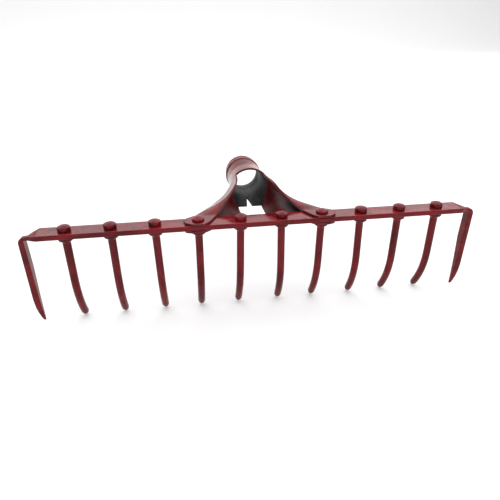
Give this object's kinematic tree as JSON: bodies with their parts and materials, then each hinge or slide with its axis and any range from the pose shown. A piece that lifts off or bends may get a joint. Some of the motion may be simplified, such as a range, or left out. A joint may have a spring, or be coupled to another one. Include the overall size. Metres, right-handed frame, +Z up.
{
  "type": "garden rake head",
  "caption": "Flat-bar garden rake head with riveted round tines, bent pointed bar ends as outer teeth, and a pressed sheet socket that takes a round handle.",
  "frame": {"origin": "centre of the handle socket's mouth, on its axis", "axes": "+X along the bar, +Y out of the socket along the handle, +Z up with the teeth pointing down"},
  "size_m": [0.351, 0.113, 0.1038],
  "materials": {
    "bar_enamel": "glossy deep red enamel, a little uneven",
    "tine_enamel": "glossy deep red enamel, thinner at the points",
    "bracket_enamel": "glossy deep red enamel outside, dark bare steel inside the tube"
  },
  "bodies": {
    "root": {"tine_bar": "bar_enamel", "socket_bracket": "bracket_enamel", "tine_01": "tine_enamel", "tine_02": "tine_enamel", "tine_03": "tine_enamel", "tine_04": "tine_enamel", "tine_05": "tine_enamel", "tine_06": "tine_enamel", "tine_07": "tine_enamel", "tine_08": "tine_enamel", "tine_09": "tine_enamel", "tine_10": "tine_enamel"}
  },
  "joints": []
}
